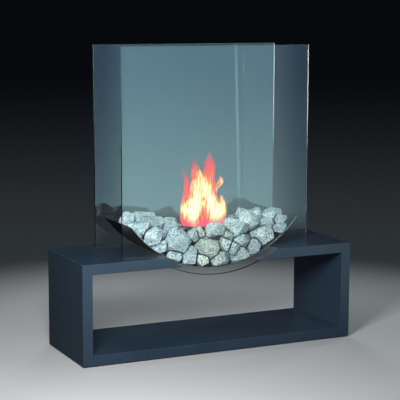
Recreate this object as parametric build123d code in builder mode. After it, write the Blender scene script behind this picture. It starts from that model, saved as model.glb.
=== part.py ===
from build123d import *
import math
import os
import random

os.makedirs("parts", exist_ok=True)

# Bioethanol fireplace. A lacquered box base, open from front to back, carries two clear
# glass panes. A curved steel bowl of granite stones hangs between them in a cut-out of the
# top board, with the ethanol burner in its middle.
#
# Millimetres. X runs along the base, Y from front to back, Z up. The origin is on the
# floor under the middle of the base.

# ---------------------------------------------------------------- driving dimensions
# base
base_width = 1100
base_depth = 370
base_height = 370
board = 38                  # board thickness
corner_round = 2.0          # rounding of the four long outer corners
arris_round = 1.2           # rounding of the front and back arrises

# floor glides
glide_diameter = 20
glide_height = 3
glide_inset = 22            # from both outer faces to the glide's middle
nail_shank = 2.2
nail_head = 7
nail_head_height = 1.2
nail_sink = 1.5             # from the glide's underside up to the head's seat
nail_length = 16
nail_gap = 0.2

# loose tenons in the mitres
tenon_thickness = 6
tenon_width = 40
tenon_length = 30
tenon_pitch = 120
tenon_rows = 3
tenon_shift = 4             # towards the inner corner
mortise_gap = 0.2

# glass panes
glass_width = 760
glass_rise = 760            # above the top board
glass_thickness = 8
glass_inset = 46            # from the base's face to the pane's outer face
glass_arris = 0.6
groove_depth = 12
slot_gap = 1.0              # on each side of the glass, for the liner
tongue_drop = 19            # the tongue's arc lies this far outside the seat's arc

# groove liners
liner_wall = 0.7
liner_floor = 1.0
liner_end_gap = 6           # from the tongue's arc to the liner's end
glass_seat_gap = 0.3        # between the glass and the liner

# fire bowl
bowl_radius = 427           # outside of the curved sheet
bowl_sheet = 2
bowl_sink = 60              # how far the bowl hangs below the top face of the base
bowl_span = 682             # between the bowl's two ends
bowl_side_gap = 0.7         # between the bowl's edge and the glass
rest_thickness = 8          # heat barrier strips between the bowl and the boards
rest_gap = 0.3
rest_glue = 0.2

# burner
opening_length = 170
opening_width = 36
burner_end_rim = 15         # from the opening's end to the top plate's end
burner_front_rim = 8
burner_back_rim = 7
burner_height = 80
burner_rise = 57            # of the top plate over the top face of the base
plate_thickness = 2
plate_overhang = 3
tank_wall = 1.2
wool_gap = 0.3
wool_below_plate = 14

# shutter
shutter_lap = 4             # over the opening's ends
shutter_side_lap = 3        # over the opening's long sides
shutter_thickness = 1.5
shutter_play = 0.3
guide_wall = 1.2
guide_lip = 4
knob_diameter = 14
knob_height = 8
knob_bevel = 2
knob_stem = 6
knob_stem_height = 6
knob_rivet = 4
rivet_gap = 0.05

# burner stand
stand_sheet = 1.5
stand_tab_height = 10
stand_gap = 0.3

# stones
stone_gap = 0.5             # between neighbouring stones
stone_bowl_gap = 0.4        # between stones and the bowl
stone_burner_gap = 3        # between stones and the burner's way up
stone_edge_gap = 2          # from the bowl's front and back edges
stone_facets = 10
stone_flat_low = 0.85       # how near a broken face may come to the stone's middle
stone_flat_high = 1.06      # and how far, as shares of its half size
stone_tilt = 0.12           # unevenness of the broken faces' slopes
stone_twist = 0.35          # and of their turns, in radians
stone_seed = 7
golden_angle = math.pi * (3 - math.sqrt(5))
seat_chord_angle = 5        # flats that a stone's underside takes from the bowl's curve
seat_chords = 3             # on each side of the stone's middle

# ---------------------------------------------------------------- derived places
top_z = glide_height + base_height
under_z = top_z - board
front_y = -base_depth / 2
seat_radius = bowl_radius + rest_thickness
tongue_radius = seat_radius + tongue_drop
axis_z = top_z - bowl_sink + bowl_radius
bowl_inside = bowl_radius - bowl_sheet

glass_foot = top_z - groove_depth + liner_floor + glass_seat_gap
glass_top = top_z + glass_rise
pane_outer_y = base_depth / 2 - glass_inset
pane_inner_y = pane_outer_y - glass_thickness
bowl_half_width = pane_inner_y - bowl_side_gap
bowl_half_angle = math.degrees(math.asin(bowl_span / 2 / bowl_radius))

plate_length = opening_length + 2 * burner_end_rim
shutter_width = opening_width + 2 * shutter_side_lap
shutter_travel = opening_width + 2 * shutter_side_lap
plate_front = -opening_width / 2 - burner_front_rim
plate_back = shutter_travel + shutter_width / 2 + burner_back_rim
plate_width = plate_back - plate_front
plate_middle = (plate_front + plate_back) / 2
tank_length = plate_length - 2 * plate_overhang
tank_width = plate_width - 2 * plate_overhang
tank_height = burner_height - plate_thickness
burner_top = top_z + burner_rise
tank_floor = burner_top - burner_height
shutter_floor = burner_top + shutter_play
shutter_length = opening_length + 2 * shutter_lap


def cross_plane(y):
    # Upright plane across the base at depth y: its own X is +X, its own Y is +Z.
    return Plane(origin=(0, y, 0), x_dir=(1, 0, 0), z_dir=(0, -1, 0))


def extrude_back(depth):
    # Extrude the pending cross section towards the back.
    extrude(amount=-depth)


# ---------------------------------------------------------------- base
# The five boards are cut from one rounded box ring, so that their arrises run on from
# board to board across the mitres.
with BuildPart() as carcass:
    with BuildSketch(cross_plane(front_y)):
        with Locations((0, glide_height + base_height / 2)):
            Rectangle(base_width, base_height)
            Rectangle(base_width - 2 * board, base_height - 2 * board, mode=Mode.SUBTRACT)
    extrude_back(base_depth)
    long_edges = carcass.edges().filter_by(Axis.Y)
    fillet(long_edges.sort_by_distance((0, 0, top_z / 2))[-4:], radius=corner_round)
    fillet(carcass.faces().filter_by(Axis.Y).edges(), radius=arris_round)

# Corner middles, each with the direction across its mitre.
corner_x = (base_width - board) / 2
corner_low = glide_height + board / 2
corner_high = top_z - board / 2
corners = [
    ((-corner_x, corner_high), (1, 1)),
    ((corner_x, corner_high), (-1, 1)),
    ((corner_x, corner_low), (-1, -1)),
    ((-corner_x, corner_low), (1, -1)),
]
tenon_places = []
for (cx, cz), (dx, dz) in corners:
    inward = tenon_shift / math.sqrt(2)
    middle = (cx + dx * inward, 0, cz - dz * inward)
    mitre_frame = Plane(origin=middle, x_dir=(dx, 0, dz), z_dir=(0, -1, 0))
    for row in range(tenon_rows):
        row_y = (row - (tenon_rows - 1) / 2) * tenon_pitch
        tenon_places.append(mitre_frame.location * Pos(0, 0, row_y))

with BuildPart() as mitre_tenons:
    with Locations(*tenon_places):
        Box(tenon_length, tenon_thickness, tenon_width)


ring_outside = [
    (-base_width / 2, glide_height),
    (base_width / 2, glide_height),
    (base_width / 2, top_z),
    (-base_width / 2, top_z),
]
ring_inside = [
    (-base_width / 2 + board, glide_height + board),
    (base_width / 2 - board, glide_height + board),
    (base_width / 2 - board, under_z),
    (-base_width / 2 + board, under_z),
]


def mitred_block(side):
    # Mitred outline of one board of the ring, numbered from the bottom board round to
    # the right.
    after = (side + 1) % len(ring_outside)
    with BuildPart() as block:
        with BuildSketch(cross_plane(front_y)):
            Polygon(
                ring_outside[side],
                ring_outside[after],
                ring_inside[after],
                ring_inside[side],
                align=None,
            )
        extrude_back(base_depth)
    return block.part


with BuildPart() as mortises:
    with Locations(*tenon_places):
        Box(
            tenon_length + 2 * mortise_gap,
            tenon_thickness + 2 * mortise_gap,
            tenon_width + 2 * mortise_gap,
        )


def glass_outline(y, gap, foot):
    # A pane seen from the front: a square with an arc tongue under its foot line. With a
    # gap it is the outline of the slot that the pane stands in.
    half_width = glass_width / 2 + gap
    reach = tongue_radius + gap
    half_chord = math.sqrt(reach**2 - (axis_z - foot) ** 2)
    with BuildSketch(cross_plane(y)) as outline:
        with BuildLine():
            Polyline(
                (-half_chord, foot),
                (-half_width, foot),
                (-half_width, glass_top),
                (half_width, glass_top),
                (half_width, foot),
                (half_chord, foot),
            )
            ThreePointArc((half_chord, foot), (0, axis_z - reach), (-half_chord, foot))
        make_face()
    return outline.sketch


slot_floor = top_z - groove_depth
slot_width = glass_thickness + 2 * slot_gap
front_slot_y = -pane_outer_y - slot_gap
rear_slot_y = pane_inner_y - slot_gap

with BuildPart() as glass_slots:
    extrude(glass_outline(front_slot_y, slot_gap, slot_floor), amount=-slot_width)
    extrude(glass_outline(rear_slot_y, slot_gap, slot_floor), amount=-slot_width)


# The arc-shaped cut-out that parts the top board in two.
with BuildPart() as bowl_seat:
    with BuildSketch(cross_plane(front_y)):
        with Locations((0, axis_z)):
            Circle(seat_radius)
    extrude_back(base_depth)

glide_places = [
    (side_x * (base_width / 2 - glide_inset), side_y * (base_depth / 2 - glide_inset))
    for side_x in (-1, 1)
    for side_y in (-1, 1)
]

with BuildPart() as bottom_panel:
    add(carcass.part)
    add(mitred_block(0), mode=Mode.INTERSECT)
    add(mortises.part, mode=Mode.SUBTRACT)
    with BuildSketch(Plane.XY.offset(glide_height)):
        with Locations(*glide_places):
            Circle(nail_shank / 2 + nail_gap)
    extrude(amount=nail_length, mode=Mode.SUBTRACT)

with BuildPart() as right_end_panel:
    add(carcass.part)
    add(mitred_block(1), mode=Mode.INTERSECT)
    add(mortises.part, mode=Mode.SUBTRACT)

with BuildPart() as left_end_panel:
    add(carcass.part)
    add(mitred_block(3), mode=Mode.INTERSECT)
    add(mortises.part, mode=Mode.SUBTRACT)

with BuildPart() as top_board:
    add(carcass.part)
    add(mitred_block(2), mode=Mode.INTERSECT)
    add(mortises.part, mode=Mode.SUBTRACT)
    add(bowl_seat.part, mode=Mode.SUBTRACT)
    add(glass_slots.part, mode=Mode.SUBTRACT)

with BuildPart() as left_top_panel:
    add(top_board.part)
    split(bisect_by=Plane.YZ, keep=Keep.BOTTOM)

with BuildPart() as right_top_panel:
    add(top_board.part)
    split(bisect_by=Plane.YZ, keep=Keep.TOP)

# Plastic glides, each with a nail through a countersunk hole.
with BuildPart() as floor_glides:
    with BuildSketch(Plane.XY):
        with Locations(*glide_places):
            Circle(glide_diameter / 2)
            Circle(nail_shank / 2 + nail_gap, mode=Mode.SUBTRACT)
    extrude(amount=glide_height)
    with BuildSketch(Plane.XY):
        with Locations(*glide_places):
            Circle(nail_head / 2 + nail_gap)
    extrude(amount=nail_sink, mode=Mode.SUBTRACT)

with BuildPart() as glide_nails:
    with BuildSketch(Plane.XY.offset(nail_sink)):
        with Locations(*glide_places):
            Circle(nail_head / 2)
    extrude(amount=-nail_head_height)
    with BuildSketch(Plane.XY.offset(nail_sink)):
        with Locations(*glide_places):
            Circle(nail_shank / 2)
    extrude(amount=nail_length)

# ---------------------------------------------------------------- glass
with BuildPart() as front_glass_pane:
    extrude(glass_outline(-pane_outer_y, 0, glass_foot), amount=-glass_thickness)
    chamfer(front_glass_pane.faces().filter_by(Axis.Y).edges(), length=glass_arris)

with BuildPart() as rear_glass_pane:
    extrude(glass_outline(pane_inner_y, 0, glass_foot), amount=-glass_thickness)
    chamfer(rear_glass_pane.faces().filter_by(Axis.Y).edges(), length=glass_arris)

# Channel strips that line the grooves under the straight parts of the panes' feet.
slot_half_chord = math.sqrt((tongue_radius + slot_gap) ** 2 - (axis_z - slot_floor) ** 2)
liner_start = slot_half_chord + liner_end_gap
liner_end = glass_width / 2


def liner_pair(middle_y):
    with BuildPart() as pair:
        for start in (liner_start, -liner_end):
            with BuildSketch(Plane.YZ.offset(start)):
                with Locations((middle_y, slot_floor)):
                    Rectangle(slot_width, groove_depth, align=(Align.CENTER, Align.MIN))
                with Locations((middle_y, slot_floor + liner_floor)):
                    Rectangle(
                        slot_width - 2 * liner_wall,
                        groove_depth,
                        align=(Align.CENTER, Align.MIN),
                        mode=Mode.SUBTRACT,
                    )
            extrude(amount=liner_end - liner_start)
    return pair.part


pane_middle_y = (pane_outer_y + pane_inner_y) / 2
with BuildPart() as front_groove_liners:
    add(liner_pair(-pane_middle_y))

with BuildPart() as rear_groove_liners:
    add(liner_pair(pane_middle_y))

# ---------------------------------------------------------------- fire bowl
with BuildPart() as fire_bowl:
    with BuildSketch(cross_plane(-bowl_half_width)):
        with BuildLine():
            outer_arc = CenterArc((0, axis_z), bowl_radius, -90 - bowl_half_angle, 2 * bowl_half_angle)
            inner_arc = CenterArc((0, axis_z), bowl_inside, -90 - bowl_half_angle, 2 * bowl_half_angle)
            Line(outer_arc @ 0, inner_arc @ 0)
            Line(outer_arc @ 1, inner_arc @ 1)
        make_face()
    extrude_back(2 * bowl_half_width)

# Heat barrier strips on the arc-cut ends of the boards, between the two glass slots.
rest_half_width = pane_inner_y - slot_gap - rest_glue


def bowl_rest(side):
    with BuildPart() as strip:
        with BuildSketch(cross_plane(-rest_half_width)):
            with Locations((0, axis_z)):
                Circle(seat_radius - rest_glue)
                Circle(bowl_radius + rest_gap, mode=Mode.SUBTRACT)
            with Locations((side * base_width / 2, (top_z + under_z) / 2)):
                Rectangle(base_width, board, mode=Mode.INTERSECT)
        extrude_back(2 * rest_half_width)
    return strip.part


with BuildPart() as left_bowl_rest:
    add(bowl_rest(-1))

with BuildPart() as right_bowl_rest:
    add(bowl_rest(1))

# ---------------------------------------------------------------- burner
plate_plane = Plane.XY.offset(burner_top - plate_thickness)

with BuildPart() as burner_tank:
    with BuildSketch(Plane.XY.offset(tank_floor)):
        with Locations((0, plate_middle)):
            Rectangle(tank_length, tank_width)
    extrude(amount=tank_height)
    upright_edges = burner_tank.edges().filter_by(Axis.Z)
    fillet(upright_edges, radius=plate_overhang)
    offset(amount=-tank_wall, openings=burner_tank.faces().sort_by(Axis.Z)[-1])

with BuildPart() as ceramic_wool:
    with BuildSketch(Plane.XY.offset(tank_floor + tank_wall + wool_gap)):
        with Locations((0, plate_middle)):
            RectangleRounded(
                tank_length - 2 * tank_wall - 2 * wool_gap,
                tank_width - 2 * tank_wall - 2 * wool_gap,
                plate_overhang - tank_wall,
            )
    extrude(amount=tank_height - tank_wall - wool_gap - wool_below_plate)

with BuildPart() as burner_top_plate:
    with BuildSketch(plate_plane):
        with Locations((0, plate_middle)):
            RectangleRounded(plate_length, plate_width, plate_overhang)
        SlotOverall(opening_length, opening_width, mode=Mode.SUBTRACT)
    extrude(amount=plate_thickness)

# Two folded rails that guide the shutter's ends.
guide_inner_x = shutter_length / 2 + shutter_play
guide_height = shutter_thickness + 2 * shutter_play + guide_wall
with BuildPart() as shutter_guides:
    with BuildSketch(cross_plane(plate_front + plate_overhang)):
        for side in (-1, 1):
            with Locations((side * (guide_inner_x + guide_wall / 2), burner_top + guide_height / 2)):
                Rectangle(guide_wall, guide_height)
            lip_middle = guide_inner_x + guide_wall - guide_lip / 2
            with Locations((side * lip_middle, burner_top + guide_height - guide_wall / 2)):
                Rectangle(guide_lip, guide_wall)
    extrude_back(plate_width - 2 * plate_overhang)

# The shutter is parked behind the opening while the fire burns.
with BuildPart() as shutter:
    with BuildSketch(Plane.XY.offset(shutter_floor)):
        with Locations((0, shutter_travel)):
            Rectangle(shutter_length, shutter_width)
            Circle(knob_rivet / 2 + rivet_gap, mode=Mode.SUBTRACT)
    extrude(amount=shutter_thickness)

shutter_top = shutter_floor + shutter_thickness
knob_foot = shutter_top + knob_stem_height
knob_top = knob_foot + knob_height
with BuildPart() as shutter_knob:
    with BuildSketch(Plane.YZ):
        with BuildLine():
            Polyline(
                (shutter_travel, shutter_floor),
                (shutter_travel + knob_rivet / 2, shutter_floor),
                (shutter_travel + knob_rivet / 2, shutter_top),
                (shutter_travel + knob_stem / 2, shutter_top),
                (shutter_travel + knob_stem / 2, knob_foot),
                (shutter_travel + knob_diameter / 2, knob_foot + knob_bevel),
                (shutter_travel + knob_diameter / 2, knob_top - knob_bevel),
                (shutter_travel + knob_diameter / 2 - knob_bevel, knob_top),
                (shutter_travel, knob_top),
                close=True,
            )
        make_face()
    revolve(axis=Axis((0, shutter_travel, 0), (0, 0, 1)))

# Bent sheet stand: a shelf on two skirts that are cut to the bowl's curve, and two tabs
# that keep the tank in place.
shelf_top = tank_floor - stand_gap
stand_depth = tank_width - 2 * plate_overhang
with BuildPart() as burner_stand:
    stand_front = plate_middle - stand_depth / 2
    with BuildSketch(Plane.XY.offset(shelf_top - stand_sheet)):
        with Locations((0, plate_middle)):
            Rectangle(tank_length + 2 * (stand_gap + stand_sheet), stand_depth)
    extrude(amount=stand_sheet)
    for skirt_front in (stand_front, stand_front + stand_depth - stand_sheet):
        with BuildSketch(cross_plane(skirt_front)):
            with Locations((0, shelf_top)):
                Rectangle(tank_length, bowl_radius, align=(Align.CENTER, Align.MAX))
            with Locations((0, axis_z)):
                Circle(bowl_inside - stand_gap, mode=Mode.INTERSECT)
        extrude_back(stand_sheet)
    with BuildSketch(Plane.XY.offset(shelf_top - stand_sheet)):
        for side in (-1, 1):
            with Locations((side * (tank_length / 2 + stand_gap + stand_sheet / 2), plate_middle)):
                Rectangle(stand_sheet, stand_depth)
    extrude(amount=stand_sheet + stand_tab_height)

# ---------------------------------------------------------------- stones
# Broken granite. A stone is given by the place of its middle and its size:
# (share of the bowl's half span from the middle, share of the way across its zone,
#  height of its middle over the bowl, width, height).
# Zones: front is between the front glass and the burner, rear is between the burner and
# the rear glass, and left and right are beyond the burner's ends, where the first share
# runs from the burner's end to the bowl's end.
front_left_stones = [
    (-0.72, 0.28, 46, 62, 64),
    (-0.64, 0.22, 25, 52, 46),
    (-0.47, 0.22, 20, 56, 40),
    (-0.42, 0.38, 72, 92, 92),
    (-0.29, 0.22, 38, 46, 76),
    (-0.54, 0.70, 76, 46, 46),
    (-0.84, 0.58, 46, 84, 46),
    (-0.66, 0.78, 40, 62, 52),
]
front_middle_stones = [
    (-0.135, 0.24, 22, 48, 46),
    (0.075, 0.24, 22, 72, 44),
    (-0.07, 0.32, 68, 92, 66),
    (0.145, 0.28, 72, 44, 50),
    (-0.21, 0.55, 108, 40, 50),
    (-0.13, 0.58, 118, 42, 44),
    (0.04, 0.52, 126, 70, 54),
    (0.20, 0.48, 96, 48, 36),
]
front_right_stones = [
    (0.32, 0.24, 20, 68, 46),
    (0.50, 0.24, 22, 58, 46),
    (0.24, 0.22, 52, 50, 42),
    (0.365, 0.36, 62, 58, 48),
    (0.62, 0.38, 42, 98, 54),
    (0.83, 0.22, 11, 58, 24),
    (0.32, 0.62, 116, 90, 58),
    (0.54, 0.80, 104, 58, 64),
    (0.73, 0.80, 38, 80, 58),
    (0.89, 0.62, 20, 34, 40),
]
inner_front_stones = [
    (-0.34, 0.78, 30, 64, 60),
    (-0.15, 0.76, 30, 66, 58),
    (0.05, 0.76, 32, 70, 62),
    (0.24, 0.76, 34, 66, 64),
    (0.44, 0.76, 44, 66, 70),
    (-0.05, 0.80, 88, 76, 52),
]
left_heap_stones = [
    (0.16, 0.34, 30, 70, 62),
    (0.20, 0.66, 32, 66, 62),
    (0.50, 0.62, 34, 70, 60),
    (0.78, 0.60, 30, 62, 52),
    (0.16, 0.26, 116, 72, 70),
    (0.26, 0.50, 84, 72, 56),
    (0.42, 0.28, 106, 108, 54),
    (0.48, 0.68, 108, 92, 44),
    (0.80, 0.50, 58, 60, 40),
]
right_heap_stones = [
    (0.16, 0.34, 30, 70, 62),
    (0.20, 0.68, 32, 66, 62),
    (0.50, 0.62, 34, 70, 58),
    (0.16, 0.36, 84, 64, 60),
    (0.42, 0.62, 82, 76, 52),
    (0.38, 0.62, 112, 50, 42),
    (0.62, 0.90, 68, 62, 42),
    (0.62, 0.64, 72, 64, 42),
    (0.83, 0.22, 30, 82, 54),
]
rear_left_stones = [
    (-0.80, 0.50, 30, 62, 50),
    (-0.62, 0.52, 28, 66, 54),
    (-0.43, 0.50, 28, 66, 54),
    (-0.50, 0.46, 78, 74, 56),
    (-0.70, 0.46, 70, 64, 40),
    (-0.32, 0.50, 84, 66, 62),
    (-0.40, 0.50, 112, 70, 42),
]
rear_middle_stones = [
    (-0.24, 0.50, 28, 70, 52),
    (-0.03, 0.48, 30, 76, 58),
    (0.18, 0.52, 28, 74, 54),
    (-0.13, 0.50, 82, 72, 58),
    (0.08, 0.50, 84, 74, 56),
    (-0.20, 0.52, 112, 58, 40),
    (0.16, 0.54, 110, 66, 38),
]
rear_right_stones = [
    (0.38, 0.50, 28, 68, 54),
    (0.57, 0.50, 28, 66, 54),
    (0.76, 0.50, 30, 66, 50),
    (0.28, 0.50, 80, 66, 56),
    (0.47, 0.48, 80, 70, 58),
    (0.66, 0.50, 74, 66, 46),
    (0.36, 0.50, 114, 68, 44),
]

burner_half_length = plate_length / 2 + stone_burner_gap
burner_front_limit = plate_front - stone_burner_gap
burner_back_limit = plate_back + stone_burner_gap
stone_half_depth = bowl_half_width - stone_edge_gap


def between(start, end, share):
    return start + (end - start) * share


def bowl_floor(x):
    # Height of the bowl's inside at x.
    return axis_z - math.sqrt(bowl_inside**2 - x**2)


def stone_place(zone, along, across, lift):
    if zone == "left":
        x = -between(burner_half_length, bowl_span / 2, along)
        y = between(burner_front_limit, burner_back_limit, across)
    elif zone == "right":
        x = between(burner_half_length, bowl_span / 2, along)
        y = between(burner_front_limit, burner_back_limit, across)
    elif zone == "front":
        x = along * bowl_span / 2
        y = between(-stone_half_depth, burner_front_limit, across)
    else:
        x = along * bowl_span / 2
        y = between(burner_back_limit, stone_half_depth, across)
    return Vector(x, y, bowl_floor(x) + lift)


stone_groups = [
    ("front_left_stones", "front", front_left_stones),
    ("front_middle_stones", "front", front_middle_stones),
    ("front_right_stones", "front", front_right_stones),
    ("inner_front_stones", "front", inner_front_stones),
    ("left_heap_stones", "left", left_heap_stones),
    ("right_heap_stones", "right", right_heap_stones),
    ("rear_left_stones", "rear", rear_left_stones),
    ("rear_middle_stones", "rear", rear_middle_stones),
    ("rear_right_stones", "rear", rear_right_stones),
]
stones = []
for group_name, zone, rows in stone_groups:
    for along, across, lift, width, height in rows:
        place = stone_place(zone, along, across, lift)
        stones.append((group_name, place, width, height))


def broken_faces(place, width, height, random_source):
    # Planes of the break, tangent to an uneven ball round the stone's middle and spread
    # over it on a spiral.
    half = Vector(width / 2, (width + height) / 4, height / 2)
    turn = random_source.uniform(0, 2 * math.pi)
    faces = []
    for step in range(stone_facets):
        rise = 1 - 2 * (step + 0.5) / stone_facets + random_source.uniform(-stone_tilt, stone_tilt)
        rise = max(-1, min(1, rise))
        ring = math.sqrt(1 - rise**2)
        angle = turn + step * golden_angle + random_source.uniform(-stone_twist, stone_twist)
        normal = Vector(ring * math.cos(angle), ring * math.sin(angle), rise)
        reach = math.hypot(half.X * normal.X, half.Y * normal.Y, half.Z * normal.Z)
        reach *= random_source.uniform(stone_flat_low, stone_flat_high)
        faces.append((place + normal * reach, normal))
    return faces


def neighbour_faces(place, size):
    # Planes half way to each near stone, weighted by size, with the gap between them.
    faces = []
    for _, other, width, height in stones:
        apart = (other - place).length
        other_size = (width + height) / 2
        if 0 < apart < size + other_size:
            normal = (other - place) / apart
            share = (apart + (size**2 - other_size**2) / 4 / apart) / 2
            faces.append((place + normal * (share - stone_gap / 2), normal))
    return faces


def wall_faces(place):
    # Planes of the bowl's curve, of its front and back edges and of the burner's way up.
    faces = [
        (Vector(0, -stone_half_depth, 0), Vector(0, -1, 0)),
        (Vector(0, stone_half_depth, 0), Vector(0, 1, 0)),
    ]
    bowl_angle = math.degrees(math.atan2(place.X, axis_z - place.Z))
    reach = (bowl_inside - stone_bowl_gap) * math.cos(math.radians(seat_chord_angle / 2))
    for step in range(-seat_chords, seat_chords + 1):
        angle = math.radians(bowl_angle + step * seat_chord_angle)
        normal = Vector(math.sin(angle), 0, -math.cos(angle))
        faces.append((Vector(0, 0, axis_z) + normal * reach, normal))
    outside = {
        (-1, 0): -burner_half_length - place.X,
        (1, 0): place.X - burner_half_length,
        (0, -1): burner_front_limit - place.Y,
        (0, 1): place.Y - burner_back_limit,
    }
    side_x, side_y = max(outside, key=outside.get)
    side_limit = burner_front_limit if side_y < 0 else burner_back_limit
    foot = Vector(side_x * burner_half_length, side_limit, 0)
    faces.append((foot, Vector(-side_x, -side_y, 0)))
    return faces


def broken_stone(place, width, height, random_source):
    faces = broken_faces(place, width, height, random_source)
    faces += neighbour_faces(place, (width + height) / 2)
    faces += wall_faces(place)
    with BuildPart(Plane(origin=place)) as chip:
        Box(2 * width, width + height, 2 * height)
        for point, normal in faces:
            overshoot = max((corner.center() - point).dot(normal) for corner in chip.vertices())
            if overshoot > 0:
                split(bisect_by=Plane(origin=point, z_dir=normal), keep=Keep.BOTTOM)
    return chip.part


stone_random = random.Random(stone_seed)
stone_parts = {name: [] for name, _, _ in stone_groups}
for group_name, place, width, height in stones:
    stone_parts[group_name].append(broken_stone(place, width, height, stone_random))

# ---------------------------------------------------------------- named pieces
pieces = {
    "bottom_panel": bottom_panel.part,
    "left_end_panel": left_end_panel.part,
    "right_end_panel": right_end_panel.part,
    "left_top_panel": left_top_panel.part,
    "right_top_panel": right_top_panel.part,
    "mitre_tenons": mitre_tenons.part,
    "floor_glides": floor_glides.part,
    "glide_nails": glide_nails.part,
    "front_glass_pane": front_glass_pane.part,
    "rear_glass_pane": rear_glass_pane.part,
    "front_groove_liners": front_groove_liners.part,
    "rear_groove_liners": rear_groove_liners.part,
    "fire_bowl": fire_bowl.part,
    "left_bowl_rest": left_bowl_rest.part,
    "right_bowl_rest": right_bowl_rest.part,
    "burner_stand": burner_stand.part,
    "burner_tank": burner_tank.part,
    "ceramic_wool": ceramic_wool.part,
    "burner_top_plate": burner_top_plate.part,
    "shutter_guides": shutter_guides.part,
    "shutter": shutter.part,
    "shutter_knob": shutter_knob.part,
}
for group_name, parts in stone_parts.items():
    with BuildPart() as stone_group:
        for part in parts:
            add(part)
    pieces[group_name] = stone_group.part

for name, piece in pieces.items():
    piece.label = name
    export_step(piece, f"parts/{name}.step")
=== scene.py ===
import math
import random

import bmesh
import bpy
import numpy
from mathutils import Matrix, Vector, noise
from mathutils.kdtree import KDTree


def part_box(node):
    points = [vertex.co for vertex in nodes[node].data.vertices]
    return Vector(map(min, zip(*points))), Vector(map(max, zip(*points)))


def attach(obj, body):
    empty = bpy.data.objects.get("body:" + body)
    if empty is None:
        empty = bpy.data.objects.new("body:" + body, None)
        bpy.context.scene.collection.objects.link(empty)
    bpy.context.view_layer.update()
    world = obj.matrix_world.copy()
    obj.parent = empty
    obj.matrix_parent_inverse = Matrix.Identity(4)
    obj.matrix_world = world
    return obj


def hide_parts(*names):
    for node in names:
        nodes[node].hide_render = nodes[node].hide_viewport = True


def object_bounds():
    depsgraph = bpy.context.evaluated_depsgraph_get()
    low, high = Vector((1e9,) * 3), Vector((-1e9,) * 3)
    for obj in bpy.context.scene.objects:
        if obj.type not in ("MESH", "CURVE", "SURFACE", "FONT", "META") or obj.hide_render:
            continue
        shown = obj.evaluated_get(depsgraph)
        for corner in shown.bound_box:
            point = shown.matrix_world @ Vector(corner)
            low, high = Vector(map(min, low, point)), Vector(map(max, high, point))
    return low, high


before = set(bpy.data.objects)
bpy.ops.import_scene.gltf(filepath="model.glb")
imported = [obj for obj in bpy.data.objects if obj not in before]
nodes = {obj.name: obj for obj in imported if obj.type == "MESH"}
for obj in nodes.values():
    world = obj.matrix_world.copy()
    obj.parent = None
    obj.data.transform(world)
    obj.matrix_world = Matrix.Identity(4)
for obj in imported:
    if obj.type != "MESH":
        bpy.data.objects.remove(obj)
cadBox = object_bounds()
scene = bpy.context.scene
scene.view_settings.view_transform = "Standard"
print("frame loaded:", len(nodes), "CAD nodes")

axisHeight = 0.740  # of the axis that the bowl, its seat and the panes' tongues go round


def paint(red, green, blue):
    # a colour as the eye reads it, 0 to 255, as linear light
    def light(part):
        part = part / 255
        return part / 12.92 if part <= 0.04045 else ((part + 0.055) / 1.055) ** 2.4
    return (light(red), light(green), light(blue), 1.0)


class Wire:
    # a value that runs between nodes; operators add Math nodes
    def __init__(self, graph, socket):
        self.graph = graph
        self.socket = socket

    def maths(self, operation, *terms):
        return self.graph.put("ShaderNodeMath", {"operation": operation}, dict(enumerate(terms)))

    def __add__(self, other):
        return self.maths("ADD", self, other)

    def __radd__(self, other):
        return self.maths("ADD", other, self)

    def __sub__(self, other):
        return self.maths("SUBTRACT", self, other)

    def __rsub__(self, other):
        return self.maths("SUBTRACT", other, self)

    def __mul__(self, other):
        return self.maths("MULTIPLY", self, other)

    def __rmul__(self, other):
        return self.maths("MULTIPLY", other, self)

    def __rtruediv__(self, other):
        return self.maths("DIVIDE", other, self)

    def __pow__(self, other):
        return self.maths("POWER", self, other)

    def __abs__(self):
        return self.maths("ABSOLUTE", self)

    def least(self, other):
        return self.maths("MINIMUM", self, other)

    def most(self, other):
        return self.maths("MAXIMUM", self, other)


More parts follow.
